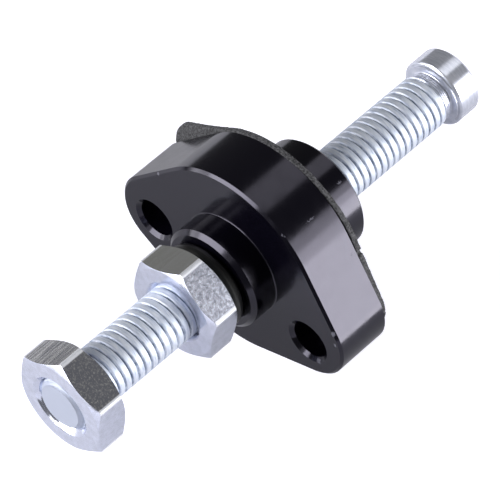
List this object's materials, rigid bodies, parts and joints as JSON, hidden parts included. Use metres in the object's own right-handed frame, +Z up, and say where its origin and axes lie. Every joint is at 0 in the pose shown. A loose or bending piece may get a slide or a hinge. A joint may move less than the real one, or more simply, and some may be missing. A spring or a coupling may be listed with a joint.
{
  "type": "cam chain tensioner",
  "caption": "Manual cam chain tensioner: flanged black body with a zinc-plated adjuster screw, hex head nut, lock nut, rubber seal ring and a loose fibre gasket.",
  "frame": {"origin": "on the screw's axis at the flange's mounting face, where the spigot starts", "axes": "+Y along the screw into the engine, +X along the line of the bolt holes, +Z up, away from the side that the ears are dropped to"},
  "size_m": [0.0486, 0.095, 0.0369],
  "materials": {
    "black_anodised_aluminium": "satin",
    "zinc_plated_steel": "semi-bright",
    "gasket_fibre": "matte",
    "black_rubber": "satin"
  },
  "bodies": {
    "housing": {"tensioner_body": "black_anodised_aluminium", "gasket": "gasket_fibre"},
    "adjuster": {"adjuster_screw": "zinc_plated_steel", "head_nut": "zinc_plated_steel"},
    "seal": {"seal_ring": "black_rubber"},
    "locking_nut": {"lock_nut": "zinc_plated_steel"}
  },
  "joints": [
    {"name": "adjuster_travel", "type": "slide", "parent": "housing", "child": "adjuster", "axis": [0, 1, 0], "range_m": [-0.0285, 0.0145]},
    {"name": "lock_nut_travel", "type": "slide", "parent": "housing", "child": "seal", "axis": [0, 1, 0], "range_m": [-0.005, 0]},
    {"name": "lock_nut_turn", "type": "hinge", "parent": "seal", "child": "locking_nut", "pos_m": [0, -0.0217, 0], "axis": [0, 1, 0], "range_deg": [-1200, 0]}
  ],
  "couplings": [
    {"joint": "lock_nut_travel", "follows": "lock_nut_turn", "m_per_rad": 0.00023873}
  ]
}
